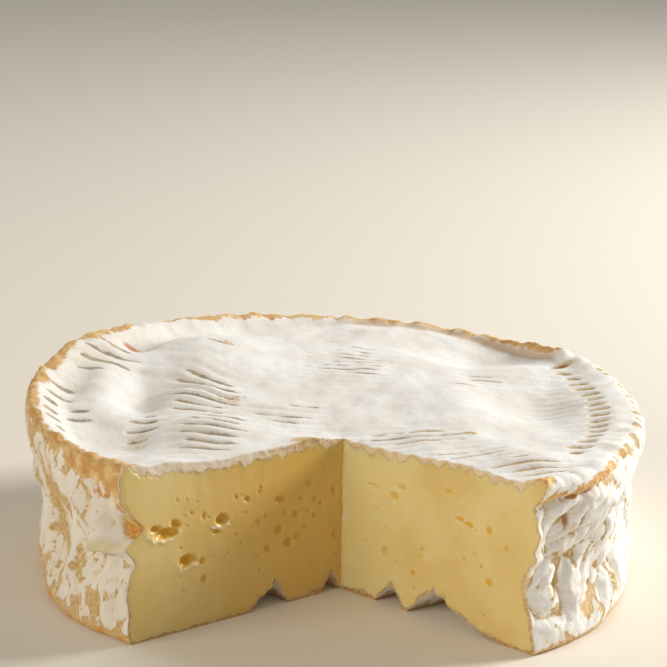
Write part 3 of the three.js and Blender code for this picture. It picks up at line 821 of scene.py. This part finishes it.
def fine_eyes(count, start, end, low, high, seed):
    """Fine eyes scattered over a part of a cut face, drawn with a fixed seed, smaller ones more
    often than larger."""
    draw = np.random.default_rng(seed)
    along = draw.uniform(start, end, count)
    height = draw.uniform(low, high, count)
    size = 0.26 + 0.26 * draw.random(count) ** 2
    shape = draw.uniform(0.7, 1.3, count)
    return [(s, z, r, r * f, r * 0.5) for s, z, r, f in zip(along, height, size, shape)]


def eye_depth(along, height, eyes, seed):
    """How deep the eyes are at a point of a cut face: each is a bowl with an uneven outline, by
    3t^2 - 2t^3 from its rim to its middle. Also returns how far the torn rims stand up."""
    wobble = 1 + 0.34 * noise(along / 1.3, height / 1.3, 0.5, seed)
    wobble = wobble + 0.16 * noise(along / 0.6, height / 0.6, 0.5, seed)
    depth, lip = np.zeros(np.shape(along)), np.zeros(np.shape(along))
    for s, z, half_wide, half_tall, deep in eyes:
        away = np.hypot((along - s) / half_wide, (height - z) / half_tall) * wobble
        depth = np.maximum(depth, deep * (1 - ease(0.1, 1.15, away)))
        below = 0.5 + 0.5 * np.clip((z - height) / half_tall, -1, 1)
        lip = np.maximum(lip, np.exp(-(((away - 1.3) / 0.3) ** 2)) * ease(0.5, 1.2, deep) * below)
    torn = ease(-0.1, 0.5, noise(along / 0.8, height / 0.6, 0.2, seed + 4))
    return depth, lip * (0.5 + 0.7 * torn)


def cut_face(outline, apex_line, corner, eyes, seed, tint):
    """One cut face as a grid between four lines: the underside and the top of its outline, its
    outer edge and the apex. It is the straight grid between its corners, and each line's own
    course away from straight fades with a power of the distance. Soft waves, the eyes and crumbs
    along the apex then move its points in and out.

    Returns the points, and how deep, moist and tinted they are. Moist marks the pale torn rims and crumbs; on
    the rims below the eyes it is partly a painted highlight. The tint is its strength by the apex, and from
    and to where along the face it fades: deeper amber with painted shade on the left face, and paler painted
    light on the right."""
    low = outline[: FACE_ALONG + 1]
    outer = outline[FACE_ALONG: FACE_ALONG + FACE_UP + 1]
    high = outline[FACE_ALONG + FACE_UP:][::-1]
    u = np.linspace(0, 1, FACE_ALONG + 1)[:, None, None]
    v = np.linspace(0, 1, FACE_UP + 1)[None, :, None]
    points = (1 - u) * ((1 - v) * low[0] + v * high[0]) + u * ((1 - v) * low[-1] + v * high[-1])
    edges = (
        (low[:, None], (1 - v) ** 4),
        (high[:, None], v**5),
        (apex_line[None], (1 - u) ** 12),
        (outer[None], u**8),
    )
    for line, fade in edges:
        along_line = u if line.shape[1] == 1 else v
        first, last = line.reshape(-1, 3)[[0, -1]]
        points = points + (line - (1 - along_line) * first - along_line * last) * fade
    along, _ = face_place(points[..., 0], points[..., 1], corner)
    height = points[..., 2] / MM
    depth, lip = eye_depth(along, height, eyes, seed)
    from_line = np.minimum(np.minimum(1.6 * u, 1 - u), np.minimum(v, 1 - v))[..., 0]
    inner = np.clip(from_line / 0.02, 0, 1)
    waves = 0.14 * noise(along / 9, height / 11, 0.2, seed + 1)
    waves = waves + 0.06 * noise(along / 2.2, height / 5, 0.7, seed + 2)
    crumbs = np.clip(2 * noise(along / 0.9, height / 1.3, 0.8, seed + 5), 0, 1)
    crumbs = crumbs * np.exp(-(((along - 0.6) / 0.6) ** 2)) * (1 if corner == RIGHT_CORNER else 0.4)
    out = (0.05 + waves + 0.35 * crumbs + 0.2 * lip - depth) * inner * MM
    strength, fade_from, fade_to = tint
    fields = {
        "eye": np.clip(depth / EYE_FULL, 0, 1) * inner,
        # pale torn rims and crumbs, partly a painted highlight on the rims below the eyes
        "lip": np.maximum(lip, 0.75 * crumbs) * inner,
        # painted shade, with a deeper amber, on the left face, and painted light on the right
        "tint": strength * (1 - ease(fade_from, fade_to, along)),
    }
    return points + out[..., None] * cut_normal(corner), fields


def make_paste(material):
    """The paste: hidden faces just inside the rind, from a few columns, and the two cut faces."""
    angles = np.linspace(RIGHT_CORNER, LEFT_CORNER, HIDDEN_COLUMNS + 1)
    points, tilts, edge = column_points(
        angles, shares(FACE_ALONG, True)[:-1], shares(PASTE_FOOT, True),
        shares(FACE_UP - PASTE_FOOT - PASTE_LIP), shares(PASTE_LIP), shares(FACE_ALONG))
    deep = rind_depth(points, angles, edge, PASTE_HIDDEN)
    deep = np.where((tilts < -1.5)[None, :, None], under_depth(points), deep)
    points = pushed_in(points, tilts, angles, deep - PASTE_LAP)
    bottom, top = points[0, 0], points[0, -1]
    share = np.linspace(0, 1, FACE_UP + 1)
    apex_line = bottom + (top - bottom) * share[:, None]
    z = apex_line[:, 2] / MM
    sideways = 0.3 * noise(z / 1.9, 0.5, 0.5, 91)
    forwards = -0.2 - 0.35 * noise(z / 1.6, 0.5, 0.5, 92)
    ragged = np.stack([sideways, forwards, 0 * z], -1)
    apex_line = apex_line + ragged * np.clip(8 * share * (1 - share), 0, 1)[:, None] * MM
    zero = np.zeros(points.shape[:2])
    grids, faces = [points.reshape(-1, 3)], [grid_faces(*points.shape[:2])]
    fields = [{"eye": zero, "lip": zero, "tint": zero}]
    start = points.shape[0] * points.shape[1]
    right = (0, RIGHT_CORNER, RIGHT_EYES + fine_eyes(*RIGHT_FINE, 3), 71, RIGHT_PAINTED_LIGHT, False)
    left = (-1, LEFT_CORNER, LEFT_EYES + fine_eyes(*LEFT_FINE, 4), 81, LEFT_AMBER_AND_PAINTED_SHADE, True)
    for column, corner, eyes, seed, tint, flip in (right, left):
        face, face_fields = cut_face(points[column], apex_line, corner, eyes, seed, tint)
        grids.append(face.reshape(-1, 3))
        faces.append(grid_faces(FACE_ALONG + 1, FACE_UP + 1, start, flip))
        fields.append(face_fields)
        start += (FACE_ALONG + 1) * (FACE_UP + 1)
    make_piece("camembert_paste", [(np.concatenate(grids), np.concatenate(faces), flat_fields(fields))],
               material)


# Materials


def colour(red, green, blue):
    """A colour from its 8-bit screen values, as the linear light that shaders use."""
    screen = np.array([red, green, blue]) / 255
    linear = np.where(screen <= 0.04045, screen / 12.92, ((screen + 0.055) / 1.055) ** 2.4)
    return (*linear, 1.0)


class Socket:
    """An output of a material's node, or an empty start. Sums with it add Math nodes."""

    def __init__(self, tree, output=None):
        self.tree, self.output = tree, output

    def node(self, kind, settings=None, inputs=None, output=0):
        """Adds a node of a type: first its settings, then its sockets' values or links."""
        made = self.tree.nodes.new(kind)
        for name, value in (settings or {}).items():
            setattr(made, name, value)
        for name, value in (inputs or {}).items():
            if isinstance(value, Socket):
                self.tree.links.new(value.output, made.inputs[name])
            else:
                made.inputs[name].default_value = value
        return Socket(self.tree, made.outputs[output] if made.outputs else None)

    def math(self, operation, first, second=0.0):
        return self.node("ShaderNodeMath", {"operation": operation}, {0: first, 1: second})

    def __add__(self, other):
        return self.math("ADD", self, other)

    def __sub__(self, other):
        return self.math("SUBTRACT", self, other)

    def __rsub__(self, other):
        return self.math("SUBTRACT", other, self)

    def __mul__(self, other):
        return self.math("MULTIPLY", self, other)

    def __mod__(self, other):
        return self.math("MODULO", self, other)

    __radd__, __rmul__ = __add__, __mul__

    def above(self, other):
        return self.math("MAXIMUM", self, other)

    def size(self):
        return self.math("ABSOLUTE", self)

    def ease(self, low, high):
        """0 below low and 1 above high, with a soft curve between."""
        return self.node("ShaderNodeMapRange", {"interpolation_type": "SMOOTHSTEP"},
                         {"Value": self, "From Min": low, "From Max": high})


def mix(factor, first, second):
    """Colour between two, by a factor. Each is a socket or three 8-bit screen values."""
    first, second = (c if isinstance(c, Socket) else colour(*c) for c in (first, second))
    return factor.node("ShaderNodeMix", {"data_type": "RGBA"}, {0: factor, 6: first, 7: second}, 2)


def start_material(name):
    """A new material with an empty node tree, and a socket to start from."""
    material = bpy.data.materials.new(name)
    material.use_nodes = True
    material.node_tree.nodes.clear()
    return material, Socket(material.node_tree)


def finish_material(material, begin, inputs):
    """The material, with a Principled shader that has these inputs as its surface."""
    bsdf = begin.node("ShaderNodeBsdfPrincipled", None, inputs)
    begin.node("ShaderNodeOutputMaterial", None, {"Surface": bsdf})
    return material


def texture(begin, place, size, detail, roughness=0.5, stretch=(1, 1, 1)):
    """Noise from 0 to 1 whose features are about a size across, in metres."""
    spot = begin.node("ShaderNodeMapping", None, {"Vector": place, "Scale": stretch})
    return begin.node("ShaderNodeTexNoise", {"normalize": True},
                      {"Vector": spot, "Scale": 1 / size, "Detail": detail, "Roughness": roughness})


def read_field(begin, name):
    return begin.node("ShaderNodeAttribute", {"attribute_name": name}, None, 2)


def bump(height, strength, distance):
    """The normal of a surface that has a relief: its height at 1 stands out by the distance."""
    return height.node("ShaderNodeBump", None, {"Strength": strength, "Distance": distance, "Height": height})


def mould_with_painted_light(at, broad, medium):
    """White mould, mottled, with painted light that brightens the right of the rim and painted warm shade
    that makes its left creamier.
    """
    white = mix(broad.ease(0.35, 0.68), (246, 244, 240), (236, 231, 223))
    white = mix(medium.ease(0.5, 0.85) * 0.5, white, (224, 215, 203))
    outer = (at[0] * at[0] + at[1] * at[1]).ease((44 * MM) ** 2, (52 * MM) ** 2)
    # painted light: the right of the rim and its wall made brighter
    white = mix(outer * at[0].ease(15 * MM, 35 * MM) * 0.6, white, (255, 252, 246))
    # painted warm shade: the left of the rim and its wall made creamier
    return mix(outer * (at[0] * -1).ease(15 * MM, 35 * MM) * 0.25, white, (236, 221, 194))


def crust_tint(at, medium, fine):
    """Ochre crust with brown spots, richer at the front right."""
    ochre = mix(medium.ease(0.38, 0.62), (230, 196, 130), (212, 158, 82))
    rich = (at[0] - at[1]).ease(50 * MM, 64 * MM)
    ochre = mix(rich, ochre, mix(fine.ease(0.38, 0.62), (238, 202, 124), (208, 144, 56)))
    return mix(fine.ease(0.55, 0.72) * 0.6, ochre, (180, 112, 48))


def groove_tint(at, mask, medium):
    """Greyish brown in the fine grooves, and ochre in the wide ones of the rings."""
    stroke = mix(medium.ease(0.35, 0.65), (190, 166, 128), (150, 126, 96))
    comb = mix(medium.ease(0.35, 0.65), (222, 196, 140), (196, 160, 98))
    return mix((mask + at[0] * 20).ease(0.9, 1.4), stroke, comb)


def section_tint(at, medium, fine):
    """The rind's cut edge: cream, paler on the left, brown by the apex and darker low down."""
    body = mix(medium.ease(0.4, 0.62), (238, 217, 176), (226, 196, 146))
    body = mix(at[0].ease(-16 * MM, -6 * MM) * -0.7 + 0.7, body, (243, 230, 208))
    by_point = (1 - (at[0] + 5 * MM).size().ease(3 * MM, 10 * MM)) * medium.ease(0.35, 0.6)
    body = mix(by_point * 0.7, body, (192, 150, 98))
    low = mix(fine.ease(0.4, 0.6), (216, 176, 116), (186, 140, 84))
    return mix(at[2].ease(6 * MM, 14 * MM), low, body)


def rind_material():
    """White mould over a tan rind: it is worn off in the grooves, in the creases of the side and
    at the foot, and along the rim it gives way to an ochre crust with brown spots. The cut edge
    has a darker line where it meets the paste, and the torn hole bares the paste."""
    material, begin = start_material("bloomy_rind")
    place = begin.node("ShaderNodeTexCoord", None, None, 3)
    broad = texture(begin, place, 9 * MM, 3)
    medium = texture(begin, place, 2.4 * MM, 4, 0.6)
    fine = texture(begin, place, 0.7 * MM, 3, 0.6)
    grain = texture(begin, place, 0.22 * MM, 2, 0.6)

    at = [begin.node("ShaderNodeSeparateXYZ", None, {0: place}, axis) for axis in (0, 1, 2)]
    away = ((read_field(begin, "groove_phase") + 100) % 1 - 0.5).size() * 2
    mask = read_field(begin, "groove_mask")
    groove = (mask * 0.30 + (medium - 0.5) * 0.5 + (fine - 0.5) * 0.4 - away).ease(-0.14, 0.16)
    groove = groove * mask.ease(0.05, 0.5)
    wear = read_field(begin, "worn")
    dots = texture(begin, place, 1.3 * MM, 1).ease(0.68, 0.75) * wear.ease(0.05, 0.3)
    bald = wear + (medium - 0.5) * 0.8 + (fine - 0.5) * 0.65 + dots * 0.5
    thin = bald.ease(0.1, 0.6) * 0.35
    worn = bald.ease(0.42, 0.72)
    crust = (read_field(begin, "crust") + (medium - 0.5) * 1.3 + (fine - 0.5) * 1.0).ease(0.28, 0.6)
    cut = read_field(begin, "cut")
    section = cut.ease(0.04, 0.22)
    seam = (1 - cut) * read_field(begin, "deep") + (fine - 0.5) * 0.4
    seam = (1 - seam.ease(0.15, 0.5)) * section
    bare = (read_field(begin, "bare") + (medium - 0.5) * 0.5).ease(0.38, 0.5)
    amber = (read_field(begin, "amber") + (medium - 0.5) * 0.4).ease(0.25, 0.5)
    pits_and_painted_shade = read_field(begin, "pits_and_painted_shade").ease(0.2, 0.6)

    base = mix(thin, mould_with_painted_light(at, broad, medium), (228, 208, 164))
    base = mix(worn * 0.88, base, mix(fine.ease(0.35, 0.7), (220, 189, 130), (194, 153, 86)))
    base = mix(groove * 0.85, base, groove_tint(at, mask, medium))
    base = mix(crust * 0.95, base, crust_tint(at, medium, fine))
    # painted shade on the inner wall of the back rim's lip
    base = mix(read_field(begin, "painted_lip_shade") * 0.9, base, (212, 186, 158))
    base = mix(section * 0.85, base, section_tint(at, medium, fine))
    base = mix(seam * 0.8, base, mix(fine.ease(0.4, 0.65), (222, 186, 134), (200, 156, 102)))
    base = mix(bare, base, (240, 228, 190))
    base = mix(amber, base, mix(fine.ease(0.35, 0.65), (230, 180, 92), (194, 130, 52)))
    # brown pit marks, with painted shade in the crease under the rim and under the torn lip
    base = mix(pits_and_painted_shade * 0.85, base, (184, 116, 46))

    rough = 0.86 - crust * 0.28 - worn * 0.1 - seam * 0.25 - bare * 0.4
    height = (medium * 0.5 + fine * 0.3 + grain * 0.16) - groove * 0.5 - worn * 0.3 - crust * 0.1
    return finish_material(material, begin, {
        "Base Color": base, "Roughness": rough, "Normal": bump(height, 0.8, 0.35 * MM),
        "Subsurface Weight": 0.18, "Subsurface Radius": (1.0, 0.9, 0.8), "Subsurface Scale": 1.0 * MM,
        "Specular IOR Level": 0.35, "Sheen Weight": 0.12, "Sheen Roughness": 0.5})


def paste_material():
    """Waxy pale yellow paste, mottled with cream: deeper where its tint is above 0, an amber that is partly
    painted shade, paler where it is below, which is painted light, golden in the eyes, and pale and moist on
    their rims, partly a painted highlight, with faint streaks."""
    material, begin = start_material("waxy_paste")
    place = begin.node("ShaderNodeTexCoord", None, None, 3)
    broad = texture(begin, place, 14 * MM, 3)
    medium = texture(begin, place, 3.2 * MM, 3, 0.55)
    streaks = texture(begin, place, 1.6 * MM, 2, 0.5, (1, 1, 0.22))
    fine = texture(begin, place, 0.45 * MM, 2, 0.6)
    eye, lip, tint = [read_field(begin, name) for name in ("eye", "lip", "tint")]

    base = mix(broad.ease(0.35, 0.65), (239, 216, 150), (231, 203, 128))
    base = mix(medium.ease(0.55, 0.75) * 0.35, base, (246, 230, 184))
    base = mix(eye.ease(0.03, 0.65) * 0.9, base, (231, 182, 48))
    # deeper amber by the apex, and painted shade over the left face
    base = mix((tint * 0.75).above(0), base, (222, 177, 78))
    # painted light: the right face made paler by the apex, where shade falls
    base = mix((tint * -0.6).above(0), base, (251, 238, 176))
    # pale torn rims and crumbs, partly a painted highlight below the eyes
    base = mix(lip.ease(0.1, 0.8) * 0.7, base, (248, 238, 204))
    rough = 0.42 + (medium - 0.5) * 0.25 - lip * 0.16 - eye * 0.1
    height = streaks * 0.15 + fine * 0.2 + medium * 0.4
    return finish_material(material, begin, {
        "Base Color": base, "Roughness": rough, "Normal": bump(height, 0.5, 0.22 * MM),
        "Subsurface Weight": 0.35, "Subsurface Radius": (1.0, 0.9, 0.7), "Subsurface Scale": 1.2 * MM,
        "IOR": 1.45, "Coat Weight": 0.12, "Coat Roughness": 0.3})


def floor_material():
    material, begin = start_material("pale_floor")
    return finish_material(material, begin, {"Base Color": colour(238, 231, 218), "Roughness": 0.8})


# The stage


def make_floor():
    mesh = bpy.data.meshes.new("floor")
    signs = ((-1, -1), (1, -1), (1, 1), (-1, 1))
    mesh.from_pydata([(x * GROUND_HALF, y * GROUND_HALF, 0) for x, y in signs], [], [(0, 1, 2, 3)])
    mesh.materials.append(floor_material())
    floor = add_object("floor", mesh)


def make_camera():
    data = bpy.data.cameras.new("camera")
    data.sensor_width = SENSOR
    data.lens = LENS
    data.clip_start, data.clip_end = 0.01, 20
    camera = add_object("camera", data)
    camera.rotation_mode = "QUATERNION"
    tilt = Matrix.Rotation(math.radians(90 - CAMERA_DOWN), 3, "X")
    roll = Matrix.Rotation(math.radians(CAMERA_ROLL), 3, "Z")
    camera.rotation_quaternion = (tilt @ roll).to_quaternion()
    camera.location = CAMERA_PLACE
    bpy.context.scene.camera = camera


def make_light(name, place, size, power, tint):
    """A square soft light that faces the cheese."""
    data = bpy.data.lights.new(name, "AREA")
    data.size, data.energy, data.color = size, power, tint
    light = add_object(name, data)
    light.location = place
    light.rotation_mode = "QUATERNION"
    light.rotation_quaternion = (Vector(LIT_POINT) - Vector(place)).to_track_quat("-Z", "Y")


def make_lights():
    """A nearly white key from the back right, a warm fill from the front left, and pale air."""
    make_light("key", *KEY_LIGHT)
    make_light("fill", *FILL_LIGHT)
    world = bpy.data.worlds.new("air")
    world.use_nodes = True
    air = world.node_tree.nodes["Background"]
    air.inputs["Color"].default_value = AIR_COLOUR
    air.inputs["Strength"].default_value = AIR_STRENGTH
    bpy.context.scene.world = world


def main():
    make_camera()
    make_lights()
    make_floor()
    make_rind(rind_material())
    make_paste(paste_material())
    view = bpy.context.scene.view_settings
    view.view_transform, view.look = "Standard", "None"


main()
